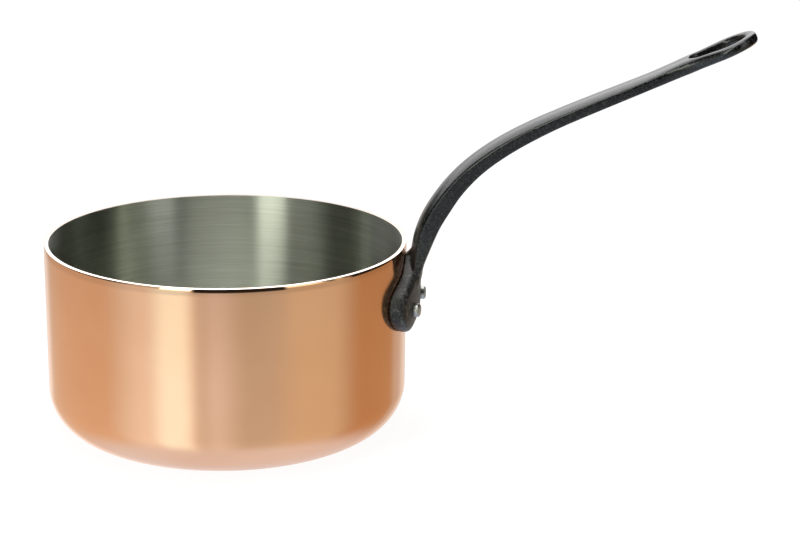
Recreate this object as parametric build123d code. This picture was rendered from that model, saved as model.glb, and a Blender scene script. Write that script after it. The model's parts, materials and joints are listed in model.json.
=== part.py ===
from build123d import *
import os
from math import asin, degrees

# A straight-sided copper saucepan with a thin steel lining and a cast-iron handle.
# Millimetres. The origin is the centre of the base's underside, +Z is up through the
# open rim, and +X runs out along the handle.

# Pan body
outer_diameter = 160.0
pan_height = 85.0
copper_thickness = 1.8
lining_thickness = 0.2
base_corner_radius = 19.5
rim_rounding = 1.2

# Handle pad, the pear-shaped plate that hugs the wall under the rim
pad_width = 54.0
pad_neck_width = 7.0
pad_height = 33.4
pad_bowl_height = 15.2
pad_thickness = 6.6
pad_chin_height = 12.6
pad_chin_radius = 24.0
pad_edge_rounding = 2.8
pad_drop = 4.7
pad_flank_angle = 38.0

# Handle stem. Its outline lies in the pitch plane, which climbs outwards at
# handle_pitch, and its top edges follow a curve drawn over that plane.
handle_pitch = 24.0
handle_length = 170.0
handle_lift = 37.0
root_gap = 2.1
tip_slope = 0.0
root_width = 19.0
grip_width = 17.4
neck_width = 15.6
underside_belly = 0.8

# Throat, the web that fills the corner between the wall and the stem's back over the pad
throat_width = 6.2
throat_lip = 0.6
throat_reach = 4.0
throat_rise = 8.2
throat_hollow = 0.9

# Crown over the stem's top edges and depth under them, from the tail sunk in the pad,
# through the root at the pad's top, out to the tip
tail_crown = 1.0
root_crown = 3.1
grip_crown = 1.9
eye_crown = 1.3
tip_crown = 0.4
tail_depth = 2.0
root_depth = 3.6
heel_depth = 6.0
bend_depth = 6.6
arm_depth = 5.3
grip_depth = 4.2
eye_depth = 3.7
tip_depth = 2.9

# Hanging eye, an egg-shaped hole with an even rim round it
eye_rim = 4.0
eye_hole_width = 17.8
eye_hole_root_width = 12.0
eye_hole_length = 25.5

# Rivets
rivet_spacing = 24.8
rivet_rise = 12.4
shank_diameter = 4.5
outer_head_diameter = 6.0
outer_head_height = 2.4
outer_head_chamfer = 0.6
inner_head_diameter = 9.5
inner_head_height = 1.6
inner_head_edge = 0.5
inner_crest_diameter = 5.0

# Length that tools run past the solids they cut
overrun = 2.0

# The top edges' curve, as shares of handle_length along the pitch and handle_lift over it
top_edge_shares = (
    (0.035, 0.249),
    (0.088, 0.475),
    (0.176, 0.716),
    (0.294, 0.884),
    (0.470, 0.963),
    (0.706, 0.973),
    (0.870, 0.988),
)

# Where the stem has its named widths, crowns and depths, as shares of handle_length
heel_share = 0.035
bend_share = 0.09
arm_share = 0.24
grip_share = 0.48
neck_share = 0.73
flare_share = 0.865

# How much of the eye's flare the outline has at flare_share
flare_growth_share = 0.35

# Gaps between the sections that the stem is lofted through, evenly spaced along its top
stem_sections = 24

# Where the pad's shoulder turns, between neck and full width and between bowl and top
shoulder_shares = (0.5, 0.58)

# The stem's tail inside the pad, as shares of the pad's thickness and height
tail_place_share = 0.48
tail_length_share = 0.42

wall_radius = outer_diameter / 2
lining_radius = wall_radius - copper_thickness
bore_radius = lining_radius - lining_thickness
pad_radius = wall_radius + pad_thickness
pad_top = pan_height - pad_drop
pad_bottom = pad_top - pad_height
rivet_height = pad_bottom + rivet_rise
eye_width = eye_hole_width + 2 * eye_rim
root_reach = wall_radius + root_gap + root_crown
nose_centre = handle_length - eye_width / 2

# The pitch plane: its x runs out along the handle, its y across it, its z up over it
pitch = Plane((root_reach, 0, pad_top), x_dir=(1, 0, 0), z_dir=(0, 0, 1)).rotated((0, -handle_pitch, 0))

# The tail's end, inside the pad, and its place along the pitch
tail = Vector(wall_radius + pad_thickness * tail_place_share, 0, pad_top - pad_height * tail_length_share)
tail_along = pitch.to_local_coords(tail).X

# Stops along the stem: a place along the pitch and the half width, crown or depth there
half_width_stops = (
    (0, root_width / 2),
    (handle_length * grip_share, grip_width / 2),
    (handle_length * neck_share, neck_width / 2),
    (handle_length * flare_share, (neck_width + (eye_width - neck_width) * flare_growth_share) / 2),
    (nose_centre, eye_width / 2),
)
crown_stops = (
    (tail_along, tail_crown),
    (0, root_crown),
    (handle_length * bend_share, root_crown),
    (handle_length * grip_share, grip_crown),
    (handle_length * neck_share, eye_crown),
    (handle_length * flare_share, eye_crown),
    (handle_length, tip_crown),
)
depth_stops = (
    (tail_along, tail_depth),
    (0, root_depth),
    (handle_length * heel_share, heel_depth),
    (handle_length * bend_share, bend_depth),
    (handle_length * arm_share, arm_depth),
    (handle_length * grip_share, grip_depth),
    (handle_length * flare_share, eye_depth),
    (handle_length, tip_depth),
)


def cup(radius, floor, thickness, corner, lip):
    """A revolved cup of even thickness up to the rim, its outer lip rounded by lip."""
    inner = radius - thickness
    inner_floor = floor + thickness
    turn = radius - corner
    with BuildPart() as body:
        with BuildSketch(Plane.XZ):
            with BuildLine():
                Line((0, inner_floor), (0, floor))
                Line((0, floor), (turn, floor))
                CenterArc((turn, floor + corner), corner, 0, -90)
                Line((radius, floor + corner), (radius, pan_height - lip))
                if lip > 0:
                    CenterArc((radius - lip, pan_height - lip), lip, 0, 90)
                Line((radius - lip, pan_height), (inner, pan_height))
                Line((inner, pan_height), (inner, floor + corner))
                CenterArc((turn, floor + corner), corner - thickness, 0, -90)
                Line((turn, inner_floor), (0, inner_floor))
            make_face()
        revolve(axis=Axis.Z)
    return body.part


def post(radius):
    """A solid cylinder on the pan's axis, from below the pad to above the rim."""
    low = pad_bottom - overrun
    height = pan_height + overrun - low
    return Pos(0, 0, low) * Cylinder(radius, height, align=(Align.CENTER, Align.CENTER, Align.MIN))


def pad_outline():
    """A prism along X with the pad's pear outline, wide bowl below and narrow neck above."""
    half = pad_width / 2
    neck = pad_neck_width / 2
    widest = pad_bottom + pad_bowl_height
    shoulder = (
        neck + (half - neck) * shoulder_shares[0],
        widest + (pad_top - widest) * shoulder_shares[1],
    )
    flank = Vector(0, -1).rotate(Axis.Z, pad_flank_angle)
    with BuildPart() as prism:
        with BuildSketch(Plane.YZ):
            with BuildLine():
                Line((0, pad_top), (neck, pad_top))
                Spline((neck, pad_top), shoulder, (half, widest), tangents=[flank, (0, -1)])
                EllipticalCenterArc((0, widest), half, pad_bowl_height, start_angle=0, arc_size=-90)
                mirror(about=Plane.YZ)
            make_face()
        extrude(amount=pad_radius + overrun)
    return prism.part


def pad():
    """The pad: a plate that hugs the wall, its chin curving in downwards, its edges rounded."""
    chin_top = pad_bottom + pad_chin_height
    with BuildPart() as band:
        with BuildSketch(Plane.XZ):
            with BuildLine():
                chin = CenterArc((pad_radius - pad_chin_radius, chin_top), pad_chin_radius, 0, -90)
                Line(chin @ 1, (pad_radius - pad_chin_radius, pad_top + overrun))
                Line((pad_radius - pad_chin_radius, pad_top + overrun), (pad_radius, pad_top + overrun))
                Line((pad_radius, pad_top + overrun), chin @ 0)
            make_face()
        revolve(axis=Axis.Z)
    plate = pad_outline() & (band.part - post(wall_radius))
    outside = plate.faces().filter_by(GeomType.CYLINDER).sort_by(Axis.X)[-1:]
    outside += plate.faces().filter_by(GeomType.TORUS)
    return fillet(outside.edges().filter_by(GeomType.BSPLINE), pad_edge_rounding)


def top_edge():
    """The curve of the stem's top edges, from the tail's end through the root to the tip."""
    def point(along, up):
        return pitch.from_local_coords((handle_length * along, 0, handle_lift * up))

    tip_direction = Vector(1, 0, 0).rotate(Axis.Y, -(handle_pitch + tip_slope))
    points = [tail, point(0, 0)] + [point(*shares) for shares in top_edge_shares] + [point(1, 1)]
    return Spline(*points, tangents=[(0, 0, 1), tip_direction])


def section(origin, direction, width, crown, depth):
    """One slice of the stem's blank, wider than the stem, crowned on top and bellied below."""
    half = width / 2 + overrun
    shoulder = crown * (1 - (half / (width / 2)) ** 2)
    plane = Plane(origin, x_dir=(0, 1, 0), z_dir=direction)
    with BuildSketch(plane) as slice_sketch:
        with BuildLine():
            ThreePointArc((-half, shoulder), (0, crown), (half, shoulder))
            Line((half, shoulder), (half, -depth))
            ThreePointArc((half, -depth), (0, -depth - underside_belly), (-half, -depth))
            Line((-half, -depth), (-half, shoulder))
        make_face()
    return slice_sketch.sketch


def between(place, stops):
    """The value at a place along the stem, straight between its stops."""
    for (low, start), (high, end) in zip(stops, stops[1:]):
        if place <= high:
            return start + (end - start) * (place - low) / (high - low)
    return stops[-1][1]


def stem_blank():
    """The crowned bar that the stem is cut from, lofted along its top edges."""
    curve = top_edge()
    slices = []
    for count in range(stem_sections + 1):
        share = count / stem_sections
        place = pitch.to_local_coords(curve @ share).X
        width = 2 * between(place, half_width_stops)
        crown = between(place, crown_stops)
        depth = between(place, depth_stops)
        slices.append(section(curve @ share, curve % share, width, crown, depth))
    past_tip = (curve @ 1) + (curve % 1) * overrun
    slices.append(section(past_tip, curve % 1, eye_width, tip_crown, tip_depth))
    return loft(slices)


def stem_outline():
    """A tall prism over the pitch plane with the handle's outline, seen square to it."""
    with BuildPart() as prism:
        with BuildSketch(pitch):
            with BuildLine():
                Line((-pad_height, 0), (-pad_height, root_width / 2))
                Line((-pad_height, root_width / 2), (0, root_width / 2))
                Spline(*half_width_stops, tangents=[(1, 0), (1, 0)])
                CenterArc((nose_centre, 0), eye_width / 2, 0, 90)
                mirror(about=Plane.XZ)
            make_face()
        extrude(amount=handle_lift + pad_height, both=True)
    return prism.part


def eye_hole():
    """A tall prism with the hanging hole's egg shape, its large end towards the tip."""
    small_end = nose_centre + (eye_hole_width + eye_hole_root_width) / 2 - eye_hole_length
    with BuildPart() as prism:
        with BuildSketch(pitch):
            with Locations((nose_centre, 0)):
                Circle(eye_hole_width / 2)
            with Locations((small_end, 0)):
                Circle(eye_hole_root_width / 2)
            make_hull()
        extrude(amount=handle_lift + pad_height, both=True)
    return prism.part


def stem():
    """The stem and eye: the blank trimmed to the outline and the wall, and pierced."""
    return (stem_blank() & stem_outline()) - eye_hole() - post(wall_radius)


def throat():
    """The web in the corner between the wall and the stem's back, hollowed on its open side."""
    low = pad_top - overrun
    inside = wall_radius - overrun
    outside = wall_radius + throat_reach
    start = (wall_radius, pad_top + throat_lip)
    end = (outside, pad_top + throat_rise)
    with BuildPart() as web:
        with BuildSketch(Plane.XZ):
            with BuildLine():
                Polyline(start, (inside, pad_top + throat_lip), (inside, low), (outside, low), end)
                SagittaArc(start, end, -throat_hollow)
            make_face()
        extrude(amount=throat_width / 2, both=True)
    return web.part - post(wall_radius)


def shank(low, high):
    """A rod of the rivet's shank size along X, from low to high, at the rivets' height."""
    rod = Cylinder(shank_diameter / 2, high - low, align=(Align.CENTER, Align.CENTER, Align.MIN))
    return Pos(low, 0, rivet_height) * Rot(0, 90, 0) * rod


def rivet_heads():
    """Blanks of the outer and inner heads, sunk into what they will be trimmed by."""
    with BuildPart() as outer:
        with BuildSketch(Plane.XZ):
            with BuildLine():
                top = pad_radius + outer_head_height
                radius = outer_head_diameter / 2
                Polyline(
                    (pad_radius - overrun, 0),
                    (pad_radius - overrun, radius),
                    (top - outer_head_chamfer, radius),
                    (top, radius - outer_head_chamfer),
                    (top, 0),
                    close=True,
                )
            make_face()
        revolve(axis=Axis.X)
    with BuildPart() as inner:
        with BuildSketch(Plane.XZ):
            with BuildLine():
                crest = bore_radius - inner_head_height
                radius = inner_head_diameter / 2
                Polyline(
                    (bore_radius + overrun, 0),
                    (bore_radius + overrun, radius),
                    (bore_radius - inner_head_edge, radius),
                    (crest, inner_crest_diameter / 2),
                    (crest, 0),
                    close=True,
                )
            make_face()
        revolve(axis=Axis.X)
    height = Pos(0, 0, rivet_height)
    return height * outer.part, height * inner.part


def build():
    """Every piece of the pan, as a dictionary of node name and solid."""
    copper = cup(wall_radius, 0, copper_thickness, base_corner_radius, rim_rounding)
    lining_corner = base_corner_radius - copper_thickness
    lining = cup(lining_radius, copper_thickness, lining_thickness, lining_corner, 0)
    casting = pad() + stem() + throat()
    outer_head, inner_head = rivet_heads()
    pieces = {}
    handle = casting
    swing = degrees(asin(rivet_spacing / outer_diameter))
    for name, turn in (("rivet_left", -swing), ("rivet_right", swing)):
        place = Rot(0, 0, turn)
        hole = place * shank(bore_radius - overrun, pad_radius + overrun)
        handle = handle - hole
        copper = copper - hole
        lining = lining - hole
        rod = place * shank(bore_radius - inner_head_edge, pad_radius + outer_head_height / 2)
        heads = (place * outer_head - casting) + (place * inner_head & post(bore_radius))
        pieces[name] = rod + heads
    pieces["handle"] = handle
    pieces["copper_shell"] = copper
    pieces["steel_lining"] = lining
    return pieces


os.makedirs("parts", exist_ok=True)
for node, shape in build().items():
    export_step(shape, f"parts/{node}.step")
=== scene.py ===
import json
import math

import bpy
from mathutils import Matrix, Vector

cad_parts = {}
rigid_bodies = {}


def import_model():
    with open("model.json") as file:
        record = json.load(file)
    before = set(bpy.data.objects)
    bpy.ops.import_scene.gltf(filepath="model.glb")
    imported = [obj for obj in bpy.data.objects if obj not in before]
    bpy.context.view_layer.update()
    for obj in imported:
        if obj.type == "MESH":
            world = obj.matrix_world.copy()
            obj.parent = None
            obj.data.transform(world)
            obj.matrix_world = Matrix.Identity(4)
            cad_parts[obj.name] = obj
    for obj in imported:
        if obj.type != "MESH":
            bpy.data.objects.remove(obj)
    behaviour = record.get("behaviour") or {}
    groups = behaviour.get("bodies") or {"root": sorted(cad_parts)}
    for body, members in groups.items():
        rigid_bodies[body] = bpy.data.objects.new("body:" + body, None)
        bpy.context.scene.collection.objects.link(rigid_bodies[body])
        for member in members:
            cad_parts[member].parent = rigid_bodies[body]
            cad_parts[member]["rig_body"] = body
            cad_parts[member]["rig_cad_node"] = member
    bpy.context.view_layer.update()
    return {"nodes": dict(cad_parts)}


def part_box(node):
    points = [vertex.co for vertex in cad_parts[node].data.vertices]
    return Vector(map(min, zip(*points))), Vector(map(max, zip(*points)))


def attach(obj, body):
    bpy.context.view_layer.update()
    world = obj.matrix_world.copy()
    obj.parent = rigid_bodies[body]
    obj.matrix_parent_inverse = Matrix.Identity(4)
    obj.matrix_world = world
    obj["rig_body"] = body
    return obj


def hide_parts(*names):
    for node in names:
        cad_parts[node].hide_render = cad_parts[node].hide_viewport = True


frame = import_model()

# A copper saucepan with a steel lining and a cast-iron handle. Metres, in the frame of the
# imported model: origin under the base's centre, +Z up, +X out along the handle.

MM = 0.001

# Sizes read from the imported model
shell_low, shell_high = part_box("copper_shell")
lining_low, lining_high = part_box("steel_lining")
OUTER_RADIUS = shell_high.x
PAN_HEIGHT = shell_high.z
LINING_RADIUS = lining_high.x
LINING_FLOOR = lining_low.z

# Body
WALL_SEGMENTS = 224
BASE_CORNER = 19.5 * MM
LINING_CORNER = BASE_CORNER - (OUTER_RADIUS - LINING_RADIUS)
LINING_THICKNESS = 0.2 * MM
LIP_INSET = 0.45 * MM
LIP_DROP = 3.6 * MM
LINING_LIP = 0.1 * MM
CORNER_STEPS = 18
LIP_STEPS = 14
BODY_CREASE = 40

# Handle casting: a fine even mesh, smoothed a little all over and more at the eye and the pad.
# The eye is filled back out by what the smoothing takes from its ring.
MERGE_DISTANCE = 0.001 * MM
CASTING_VOXEL = 0.42 * MM
CASTING_SMOOTHING = 5
CASTING_CREASE = 60
EYE_ROUND_START = 184 * MM
EYE_ROUND_BLEND = 16 * MM
EYE_ROUNDING = 75
EYE_FILL = 0.35 * MM
PAD_ROUND_TOP = PAN_HEIGHT - 9 * MM
PAD_ROUND_BLEND = 14 * MM
PAD_ROUNDING = 34

# Rivets
RIVET_SPACING = 24.8 * MM
RIVET_HEIGHT = PAN_HEIGHT - 25.7 * MM
SHANK_RADIUS = 2.25 * MM
PAD_THICKNESS = 6.6 * MM
HEAD_RADIUS = 3.0 * MM
HEAD_HEIGHT = 2.4 * MM
HEAD_CHAMFER = 0.6 * MM
INNER_HEAD_RADIUS = 4.75 * MM
INNER_HEAD_EDGE = 0.5 * MM
INNER_HEAD_HEIGHT = 1.6 * MM
INNER_CREST_RADIUS = 2.5 * MM
HEAD_CAP_SHARE = 1 / 3
RIVET_EDGE = 0.12 * MM
RIVET_EDGE_STEPS = 2
RIVET_EDGE_ANGLE = 30
RIVET_CREASE = 35
RIVET_SEGMENTS = 48

# Bands of the finishes, as heights from the rim: the copper's sharper edge, its top painted pale
# as a painted highlight, and where the iron turns from cast to rubbed
EDGE_BAND = (-3.4 * MM, -2.2 * MM)
RIM_HIGHLIGHT_BAND = (-0.3 * MM, -0.1 * MM)
RUBBED_BAND = (-12 * MM, 15 * MM)

# Camera, as fitted to the photograph: distance from the rim's centre, height over the
# horizon, the handle's turn towards the camera, and how far the aim is off that centre
PHOTO_WIDTH = 800
FOCAL_PIXELS = 1871.6
SENSOR_WIDTH = 36.0
CAMERA_DISTANCE = 835.1 * MM
CAMERA_ELEVATION = math.radians(15.246)
HANDLE_TURN = math.radians(11.0)
AIM_YAW = math.radians(-5.281)
AIM_PITCH = math.radians(-0.945)
AIM_ROLL = math.radians(0.648)


# What the metal reflects, in degrees round from the camera, to the right in the picture.
# Each panel has its ends, the softness of each, and its colour.
LOW_PANELS = (
    (-200, -150, 8, 8, (1.0, 0.93, 0.88)),
    (-150, -70, 8, 14, (0.74, 0.62, 0.51)),
    (-70, -20, 16, 9, (0.92, 0.95, 0.98)),
    (-46, -24, 8, 6, (1.12, 1.42, 1.55)),
    (-15, 2, 9, 12, (0.81, 0.87, 0.96)),
    (36, 80, 14, 10, (0.69, 0.65, 0.54)),
    (82, 134, 14, 6, (0.54, 0.37, 0.22)),
    (134, 150, 6, 8, (0.62, 0.54, 0.48)),
    (150, 200, 8, 8, (0.85, 0.80, 0.75)),
)
HIGH_PANELS = (
    (-230, -148, 6, 6, (1.1, 1.1, 1.1)),
    (-148, -64, 6, 14, (0.06, 0.06, 0.05)),
    (-62, -40, 6, 2, (0.55, 0.55, 0.52)),
    (-41, -22, 1, 1, (4.6, 4.8, 4.2)),
    (20, 60, 4, 8, (1.5, 1.54, 1.48)),
    (64, 148, 5, 6, (0.05, 0.05, 0.04)),
    (70, 76, 2, 2, (0.75, 0.75, 0.52)),
    (148, 230, 6, 6, (1.1, 1.1, 1.1)),
)
# The darkness round the camera and at the handle's side, seen in the rim's outer edge: its two
# ends and its top, from one bottom
DARK_SIDES = ((-21, 36, 60), (82, 150, 60))
DARK_BOTTOM = -7
DARK = (0.02, 0.02, 0.02)
# A soft panel high on the far side, outside these two angles, seen along the handle's top
FAR_SIDES = (-124, 140)
FAR_HEIGHTS = (16, 64)
FAR_PANEL = (2.6, 2.6, 2.65)
# The plain colours behind the panels, and the degrees over the horizon at which they change
LOW_WALL = (0.61, 0.62, 0.59)
HIGH_WALL = (0.40, 0.42, 0.40)
CEILING = (1.0, 1.0, 1.0)
TABLE = (0.82, 0.91, 1.10)
HORIZON = (-3, 5)
CEILING_EDGE = (64, 72)
TABLE_EDGE = (-56, -32)
# The low panels are a little brighter at the bottom, and fade towards the horizon
FADE = (-21, -12)
FADE_START = 1.07
FADE_DEPTH = 0.3
FILL_LIGHT = 0.45

# Floor: the strength of its own glow, and the share of its look that is this glow. The rest is
# the lit plane, with the pan's shadow on it.
FLOOR_SIZE = 8.0
FLOOR_GLOW = 1.1
FLOOR_GLOW_SHARE = 0.84


# Mesh helpers

def deselect_all():
    """Nothing selected, in object mode."""
    if bpy.context.object and bpy.context.object.mode != "OBJECT":
        bpy.ops.object.mode_set(mode="OBJECT")
    bpy.ops.object.select_all(action="DESELECT")


def turned(name, profile, segments):
    """A closed solid turned about Z: a disc drawn out through the profile's (radius, height) pairs."""
    deselect_all()
    radius, height = profile[0]
    bpy.ops.mesh.primitive_circle_add(
        vertices=segments, radius=radius, fill_type="NGON", location=(0, 0, height)
    )
    piece = bpy.context.object
    piece.name = name
    bpy.ops.object.transform_apply(location=True, rotation=True, scale=True)
    bpy.ops.object.mode_set(mode="EDIT")
    bpy.ops.mesh.select_all(action="SELECT")
    for next_radius, next_height in profile[1:]:
        rise = next_height - height
        bpy.ops.mesh.extrude_region_move(TRANSFORM_OT_translate={"value": (0, 0, rise)})
        share = next_radius / radius
        bpy.ops.transform.resize(value=(share, share, 1), center_override=(0, 0, next_height))
        radius, height = next_radius, next_height
    bpy.ops.mesh.select_all(action="SELECT")
    bpy.ops.mesh.normals_make_consistent(inside=False)
    bpy.ops.object.mode_set(mode="OBJECT")
    return piece


def arc(centre, reach, rise, start, end, steps):
    """Points on an ellipse's arc in the profile plane, both ends too; angles from outwards."""
    points = []
    for step in range(steps + 1):
        angle = math.radians(start + (end - start) * step / steps)
        points.append((centre[0] + reach * math.cos(angle), centre[1] + rise * math.sin(angle)))
    return points


def smooth_by_angle(piece, degrees):
    """Shades the piece smooth, with an edge wherever faces turn by more than the angle."""
    deselect_all()
    piece.select_set(True)
    bpy.context.view_layer.objects.active = piece
    bpy.ops.object.shade_smooth_by_angle(angle=math.radians(degrees))


def modified(piece, kind, **settings):
    """Adds a modifier with its settings and applies it."""
    modifier = piece.modifiers.new(kind.lower(), kind)
    for key, value in settings.items():
        setattr(modifier, key, value)
    deselect_all()
    piece.select_set(True)
    bpy.context.view_layer.objects.active = piece
    bpy.ops.object.modifier_apply(modifier=modifier.name)


# Shader helpers

SEEN_RAYS = ("Is Camera Ray", "Is Glossy Ray", "Is Transmission Ray")


class Wire:
    """One output of a material's nodes; sums on wires add Math nodes."""

    def __init__(self, recipe, socket):
        self.recipe = recipe
        self.socket = socket

    def _math(self, operation, *values):
        return self.recipe.add("ShaderNodeMath", {"operation": operation}, values)

    def __add__(self, other):
        return self._math("ADD", self, other)

    def __sub__(self, other):
        return self._math("SUBTRACT", self, other)

    def __rsub__(self, other):
        return self._math("SUBTRACT", other, self)

    def __mul__(self, other):
        return self._math("MULTIPLY", self, other)

    __radd__ = __add__

    def root(self):
        return self._math("SQRT", self)

    def most(self, other):
        return self._math("MAXIMUM", self, other)

    def turn_from(self, other):
        """The angle in degrees of the direction whose sine is this and whose cosine is the other."""
        return self._math("ARCTAN2", self, other) * math.degrees(1)

    def within(self, low, high, soft_low, soft_high):
        """One between low and high, falling to zero over each end's softness."""
        rise = self.ramp(low - soft_low, low + soft_low)
        return rise * (1 - self.ramp(high - soft_high, high + soft_high))

    def ramp(self, low, high):
        """Zero under low, one over high, smooth between."""
        return self.recipe.add("ShaderNodeMapRange", {"interpolation_type": "SMOOTHSTEP"}, (self, low, high))


class Recipe:
    """The nodes of one material or of the world."""

    def __init__(self, owner):
        owner.use_nodes = True
        self.owner = owner
        self.tree = owner.node_tree
        self.shader = self.tree.nodes.get("Principled BSDF")

    def add(self, kind, settings, inputs, out=0):
        """A node by its type; inputs are values or wires, in order or by the socket's name."""
        node = self.tree.nodes.new(kind)
        for key, value in settings.items():
            setattr(node, key, value)
        pairs = inputs.items() if isinstance(inputs, dict) else enumerate(inputs)
        for key, value in pairs:
            self.feed(node.inputs[key], value)
        return Wire(self, node.outputs[out])

    def feed(self, socket, value):
        if isinstance(value, Wire):
            self.tree.links.new(value.socket, socket)
        else:
            socket.default_value = value

    def place(self, kind="Object"):
        """The point on the object, or the world's direction, as three wires."""
        point = self.add("ShaderNodeTexCoord", {}, {}, kind)
        parts = self.tree.nodes.new("ShaderNodeSeparateXYZ")
        self.tree.links.new(point.socket, parts.inputs[0])
        return [Wire(self, parts.outputs[axis]) for axis in range(3)]

    def vector(self, x, y, z):
        return self.add("ShaderNodeCombineXYZ", {}, (x, y, z))

    def noise(self, vector, scale, detail=2.0, roughness=0.5):
        values = {"Vector": vector, "Scale": scale, "Detail": detail, "Roughness": roughness}
        return self.add("ShaderNodeTexNoise", {}, values, "Fac")

    def mix(self, factor, first, second):
        """Two colours mixed by a factor."""
        values = {0: factor, 6: first, 7: second}
        return self.add("ShaderNodeMix", {"data_type": "RGBA"}, values, 2)

    def bump(self, height, distance, strength=1.0):
        values = {"Height": height, "Distance": distance, "Strength": strength}
        return self.add("ShaderNodeBump", {}, values, "Normal")

    def finish(self, **values):
        """Sets or links the shader's sockets; underscores stand for spaces."""
        for key, value in values.items():
            self.feed(self.shader.inputs[key.replace("_", " ")], value)
        return self.owner

    def show(self, light, output):
        """Sends a shader to the output node by its name, in place of the one that it had."""
        self.feed(self.tree.nodes[output].inputs["Surface"], light)

    def seen(self):
        """One where the camera, a reflection or glass looks, zero where light falls."""
        paths = [self.add("ShaderNodeLightPath", {}, {}, kind) for kind in SEEN_RAYS]
        return paths[0].most(paths[1]).most(paths[2])


def material(name):
    return Recipe(bpy.data.materials.new(name))


def colour(red, green, blue):
    """A colour written as a screen shows it, 0 to 255, for a shader."""
    def linear(value):
        share = value / 255
        return share / 12.92 if share <= 0.04045 else ((share + 0.055) / 1.055) ** 2.4

    return (linear(red), linear(green), linear(blue), 1.0)


# Materials

def copper_material():
    """Polished copper with fine lines round it from the wheel, and the rim's top painted pale: a painted
    highlight.
    """
    recipe = material("polished_copper")
    x, y, z = recipe.place()
    lines = recipe.noise(recipe.vector(x * 5, y * 5, z * 5000), 1.0, 3.0)
    cloud = recipe.noise(recipe.vector(x, y, z), 22.0, 3.0)
    over_rim = z - PAN_HEIGHT
    edge = over_rim.ramp(*EDGE_BAND)
    top = over_rim.ramp(*RIM_HIGHLIGHT_BAND)
    tone = recipe.mix(cloud.ramp(0.3, 0.7), colour(248, 194, 154), colour(244, 188, 147))
    # Painted highlight: the band at the very top paints the rim's top pale, where it faces the light above
    tone = recipe.mix(top, tone, colour(252, 232, 216))
    return recipe.finish(
        Base_Color=tone,
        Metallic=1.0,
        Roughness=(0.15 + cloud * 0.04) * (1 - edge * 0.7),
        Anisotropic=0.8,
        Anisotropic_Rotation=0.25,
        Normal=recipe.bump(lines, 0.002 * MM, 0.3),
    )


def lining_material():
    """Stainless steel brushed round the wall and in rings on the floor."""
    recipe = material("brushed_lining")
    x, y, z = recipe.place()
    along = z - (x * x + y * y).root()
    lines = recipe.noise(recipe.vector(x * 25, y * 25, along * 3200), 1.0, 3.0, 0.7)
    bands = recipe.noise(recipe.vector(x * 10, y * 10, along * 700), 1.0, 2.0)
    tone = recipe.mix(lines.ramp(0.3, 0.7), colour(180, 182, 172), colour(202, 204, 196))
    tone = recipe.mix(bands.ramp(0.45, 0.7) * 0.3, tone, colour(166, 168, 158))
    return recipe.finish(
        Base_Color=tone,
        Metallic=1.0,
        Roughness=0.26 + lines * 0.06 + bands * 0.04,
        Anisotropic=1.0,
        Anisotropic_Rotation=0.25,
        Normal=recipe.bump(lines, 0.0015 * MM, 0.4),
    )


def iron_material():
    """Blackened cast iron with a fine grain, a little bare and lighter where it is rubbed."""
    recipe = material("cast_iron")
    x, y, z = recipe.place()
    point = recipe.vector(x, y, z)
    grain = recipe.noise(point, 1100.0, 3.0, 0.7)
    pits = recipe.noise(point, 650.0, 3.0)
    cloud = recipe.noise(point, 60.0, 3.0)
    rubbed = (z - PAN_HEIGHT).ramp(*RUBBED_BAND)
    tone = recipe.mix(grain.ramp(0.45, 0.7), colour(4, 4, 5), colour(58, 58, 57))
    tone = recipe.mix(cloud.ramp(0.5, 0.8) * 0.3, tone, colour(40, 40, 38))
    # Pale spots on the cast part, gone where it is rubbed: painted glints on the casting's bumps
    painted_glints = pits.ramp(0.5, 0.72) * (1 - rubbed)
    tone = recipe.mix(painted_glints, tone, colour(84, 86, 78))
    return recipe.finish(
        Base_Color=tone,
        Metallic=0.0,
        Roughness=0.45 - rubbed * 0.28 + grain * 0.06,
        Specular_IOR_Level=0.45,
        Normal=recipe.bump((grain + pits) * (0.5 - rubbed * 0.38), 0.08 * MM, 0.7),
    )


def rivet_material():
    """Plain steel with turning marks."""
    recipe = material("rivet_steel")
    x, y, z = recipe.place()
    point = recipe.vector(x, y, z)
    grain = recipe.noise(point, 1800.0, 3.0, 0.6)
    tone = recipe.mix(grain.ramp(0.3, 0.7), colour(146, 146, 142), colour(184, 184, 180))
    return recipe.finish(
        Base_Color=tone,
        Metallic=1.0,
        Roughness=0.3 + grain * 0.15,
        Normal=recipe.bump(grain, 0.03 * MM, 0.5),
    )


# Pieces

def cup_profile(radius, floor, thickness, corner, lip_inset, lip_drop):
    """Profile of a cup: the underside and outer wall up, over the lip, and down the inside."""
    turn = radius - corner
    inner = corner - thickness
    profile = arc((turn, floor + corner), corner, corner, -90, 0, CORNER_STEPS)
    profile += arc((radius - lip_inset, PAN_HEIGHT - lip_drop), lip_inset, lip_drop, 0, 90, LIP_STEPS)
    profile += [(radius - thickness, PAN_HEIGHT)]
    profile += arc((turn, floor + corner), inner, inner, 0, -90, CORNER_STEPS)
    return profile


def dress(piece, finish, node):
    """Gives a piece its material and its body, and hides the imported node that it stands for."""
    piece.data.materials.clear()
    piece.data.materials.append(finish)
    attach(piece, "root")
    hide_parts(node)


def copper_body():
    profile = cup_profile(
        OUTER_RADIUS, 0, OUTER_RADIUS - LINING_RADIUS, BASE_CORNER, LIP_INSET, LIP_DROP
    )
    piece = turned("copper_body", profile, WALL_SEGMENTS)
    smooth_by_angle(piece, BODY_CREASE)
    dress(piece, copper_material(), "copper_shell")


def lining():
    profile = cup_profile(
        LINING_RADIUS, LINING_FLOOR, LINING_THICKNESS, LINING_CORNER, LINING_LIP, LINING_LIP
    )
    piece = turned("lining", profile, WALL_SEGMENTS)
    smooth_by_angle(piece, BODY_CREASE)
    dress(piece, lining_material(), "steel_lining")


def grouped(piece, name, share):
    """Puts each point of a piece in a group by its share of it, which is kept from 0 to 1."""
    group = piece.vertex_groups.new(name=name)
    for vertex in piece.data.vertices:
        group.add([vertex.index], min(max(share(vertex.co), 0), 1), "REPLACE")


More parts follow.
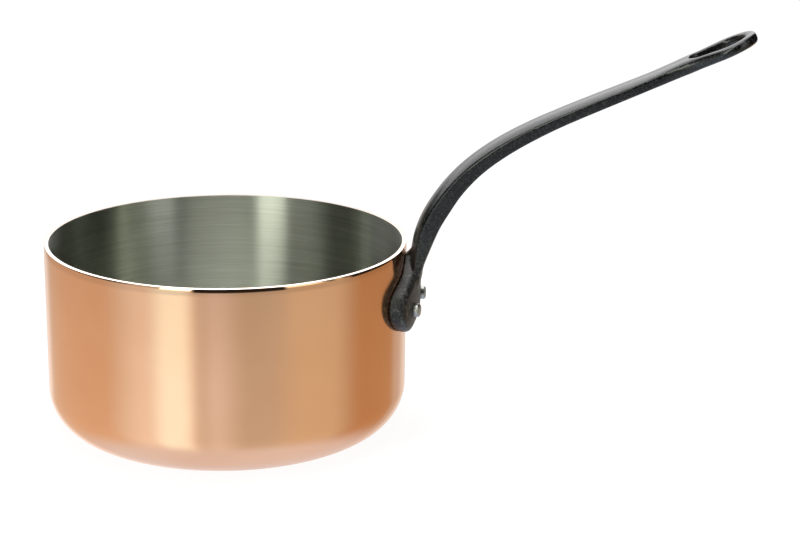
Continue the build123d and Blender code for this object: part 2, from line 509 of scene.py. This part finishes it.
def casting():
    """The handle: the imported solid's shape, its edges softened, most at the eye and the pad."""
    deselect_all()
    source = frame["nodes"]["handle"]
    piece = source.copy()
    piece.data = source.data.copy()
    piece.name = "casting"
    piece.parent = None
    # The copy is a piece of its own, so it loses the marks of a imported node
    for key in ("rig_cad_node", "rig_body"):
        del piece[key]
    bpy.context.scene.collection.objects.link(piece)
    piece.select_set(True)
    bpy.context.view_layer.objects.active = piece
    bpy.ops.object.mode_set(mode="EDIT")
    bpy.ops.mesh.select_all(action="SELECT")
    bpy.ops.mesh.remove_doubles(threshold=MERGE_DISTANCE)
    bpy.ops.object.mode_set(mode="OBJECT")
    modified(piece, "REMESH", mode="VOXEL", voxel_size=CASTING_VOXEL)
    modified(piece, "SMOOTH", factor=0.5, iterations=CASTING_SMOOTHING)
    grouped(piece, "eye", lambda point: (point.x - EYE_ROUND_START) / EYE_ROUND_BLEND)
    grouped(piece, "pad", lambda point: (PAD_ROUND_TOP - point.z) / PAD_ROUND_BLEND)
    modified(piece, "SMOOTH", factor=0.5, iterations=EYE_ROUNDING, vertex_group="eye")
    modified(piece, "DISPLACE", strength=EYE_FILL, mid_level=0.0, vertex_group="eye")
    modified(piece, "SMOOTH", factor=0.5, iterations=PAD_ROUNDING, vertex_group="pad")
    piece.vertex_groups.clear()
    smooth_by_angle(piece, CASTING_CREASE)
    dress(piece, iron_material(), "handle")


def rivet(node, side, steel):
    """One rivet, turned about its own axis and then laid across the wall."""
    base = OUTER_RADIUS + PAD_THICKNESS
    bore = LINING_RADIUS - LINING_THICKNESS
    profile = [
        (INNER_CREST_RADIUS, bore - INNER_HEAD_HEIGHT),
        (INNER_HEAD_RADIUS - INNER_HEAD_EDGE / 2, bore - INNER_HEAD_EDGE),
        (INNER_HEAD_RADIUS, bore - INNER_HEAD_EDGE / 2),
        (INNER_HEAD_RADIUS, bore),
        (SHANK_RADIUS, bore),
        (SHANK_RADIUS, base - HEAD_CHAMFER),
        (HEAD_RADIUS, base - HEAD_CHAMFER),
        (HEAD_RADIUS, base + HEAD_HEIGHT - HEAD_CHAMFER),
        (HEAD_RADIUS - HEAD_CHAMFER, base + HEAD_HEIGHT),
        (HEAD_RADIUS * HEAD_CAP_SHARE, base + HEAD_HEIGHT),
    ]
    piece = turned(node + "_turned", profile, RIVET_SEGMENTS)
    modified(
        piece, "BEVEL", width=RIVET_EDGE, segments=RIVET_EDGE_STEPS,
        limit_method="ANGLE", angle_limit=math.radians(RIVET_EDGE_ANGLE),
    )
    swing = math.asin(RIVET_SPACING / 2 / OUTER_RADIUS) * side
    lay = Matrix.Translation((0, 0, RIVET_HEIGHT)) @ Matrix.Rotation(swing, 4, "Z")
    piece.data.transform(lay @ Matrix.Rotation(math.radians(90), 4, "Y"))
    smooth_by_angle(piece, RIVET_CREASE)
    dress(piece, steel, node)


# Set

def panels(recipe, around, wall, parts):
    """A wall's colour with brighter and darker panels on it, by the angle round."""
    colour_here = (*wall, 1)
    for low, high, soft_low, soft_high, tint in parts:
        colour_here = recipe.mix(around.within(low, high, soft_low, soft_high), colour_here, (*tint, 1))
    return colour_here


def studio_world():
    """A white studio. Its reflections show panels round the pan, and a dark side by the camera."""
    world = bpy.data.worlds.new("studio")
    bpy.context.scene.world = world
    recipe = Recipe(world)
    x, y, z = recipe.place("Generated")
    side = x * math.cos(HANDLE_TURN) + y * math.sin(HANDLE_TURN)
    near = x * math.sin(HANDLE_TURN) - y * math.cos(HANDLE_TURN)
    around = side.turn_from(near)
    height = z.turn_from((side * side + near * near).root())
    low = panels(recipe, around, LOW_WALL, LOW_PANELS)
    fading = FADE_START - height.ramp(*FADE) * FADE_DEPTH
    low = recipe.add("ShaderNodeVectorMath", {"operation": "SCALE"}, {0: low, "Scale": fading})
    high = panels(recipe, around, HIGH_WALL, HIGH_PANELS)
    far = 1 - around.within(*FAR_SIDES, 6, 6)
    high = recipe.mix(far * height.within(*FAR_HEIGHTS, 5, 3), high, (*FAR_PANEL, 1))
    walls = recipe.mix(height.ramp(*HORIZON), low, high)
    for start, end, top in DARK_SIDES:
        gap = around.within(start, end, 2, 2) * height.within(DARK_BOTTOM, top, 1.5, 3)
        walls = recipe.mix(gap, walls, (*DARK, 1))
    walls = recipe.mix(height.ramp(*CEILING_EDGE), walls, (*CEILING, 1))
    walls = recipe.mix(1 - height.ramp(*TABLE_EDGE), walls, (*TABLE, 1))
    glossy = recipe.add("ShaderNodeLightPath", {}, {}, "Is Glossy Ray")
    shown = recipe.mix(glossy, (1, 1, 1, 1), walls)
    backdrop = recipe.add("ShaderNodeBackground", {}, {"Color": shown, "Strength": 1.0})
    fill = recipe.add("ShaderNodeBackground", {}, {"Color": (1, 1, 1, 1), "Strength": FILL_LIGHT})
    light = recipe.add("ShaderNodeMixShader", {}, (recipe.seen(), fill, backdrop))
    recipe.show(light, "World Output")


def floor():
    """A wide pale floor that keeps a faint shadow of the pan."""
    deselect_all()
    bpy.ops.mesh.primitive_plane_add(size=FLOOR_SIZE, location=(0, 0, 0))
    piece = bpy.context.object
    piece.name = "floor"
    piece.visible_glossy = False
    recipe = material("pale_floor")
    plain = recipe.finish(Base_Color=(0.9, 0.9, 0.9, 1), Roughness=0.9)
    matt = Wire(recipe, recipe.shader.outputs["BSDF"])
    glow = recipe.add("ShaderNodeEmission", {}, {"Color": (1, 1, 1, 1), "Strength": FLOOR_GLOW})
    light = recipe.add("ShaderNodeMixShader", {}, (recipe.seen() * FLOOR_GLOW_SHARE, matt, glow))
    recipe.show(light, "Material Output")
    piece.data.materials.append(plain)


def lamp(name, power, width, height, place, aim, reflected):
    """A rectangular soft lamp turned towards a point, seen in reflections or not."""
    data = bpy.data.lights.new(name, "AREA")
    data.shape = "RECTANGLE"
    data.size = width
    data.size_y = height
    data.energy = power
    piece = bpy.data.objects.new(name, data)
    bpy.context.scene.collection.objects.link(piece)
    piece.location = place
    piece.rotation_euler = (Vector(aim) - Vector(place)).to_track_quat("-Z", "Y").to_euler()
    piece.visible_glossy = reflected


def place_camera():
    """The camera where it stood for the photograph."""
    turn = Matrix.Rotation(HANDLE_TURN, 3, "Z")
    forward = turn @ Vector((0, math.cos(CAMERA_ELEVATION), -math.sin(CAMERA_ELEVATION)))
    right = turn @ Vector((1, 0, 0))
    up = right.cross(forward)
    place = Vector((0, 0, PAN_HEIGHT)) - forward * CAMERA_DISTANCE
    yaw = Matrix.Rotation(AIM_YAW, 3, up)
    forward, right = yaw @ forward, yaw @ right
    pitch = Matrix.Rotation(AIM_PITCH, 3, right)
    forward, up = pitch @ forward, pitch @ up
    roll = Matrix.Rotation(AIM_ROLL, 3, forward)
    right, up = roll @ right, roll @ up
    data = bpy.data.cameras.new("camera")
    data.sensor_fit = "HORIZONTAL"
    data.sensor_width = SENSOR_WIDTH
    data.lens = FOCAL_PIXELS / PHOTO_WIDTH * SENSOR_WIDTH
    data.clip_start = 0.01
    camera = bpy.data.objects.new("camera", data)
    bpy.context.scene.collection.objects.link(camera)
    facing = Matrix((right, up, -forward)).transposed().to_4x4()
    camera.matrix_world = Matrix.Translation(place) @ facing
    bpy.context.scene.camera = camera


def build():
    place_camera()
    studio_world()
    floor()
    lamp("overhead", 9, 0.9, 0.9, (-0.1, 0.1, 1.3), (0, 0, 0.05), True)
    lamp("left_strip", 3, 0.15, 0.9, (-0.55, -0.95, 0.5), (0, 0, 0.05), False)
    copper_body()
    lining()
    casting()
    steel = rivet_material()
    rivet("rivet_left", -1, steel)
    rivet("rivet_right", 1, steel)
    bpy.context.scene.view_settings.view_transform = "Standard"


build()
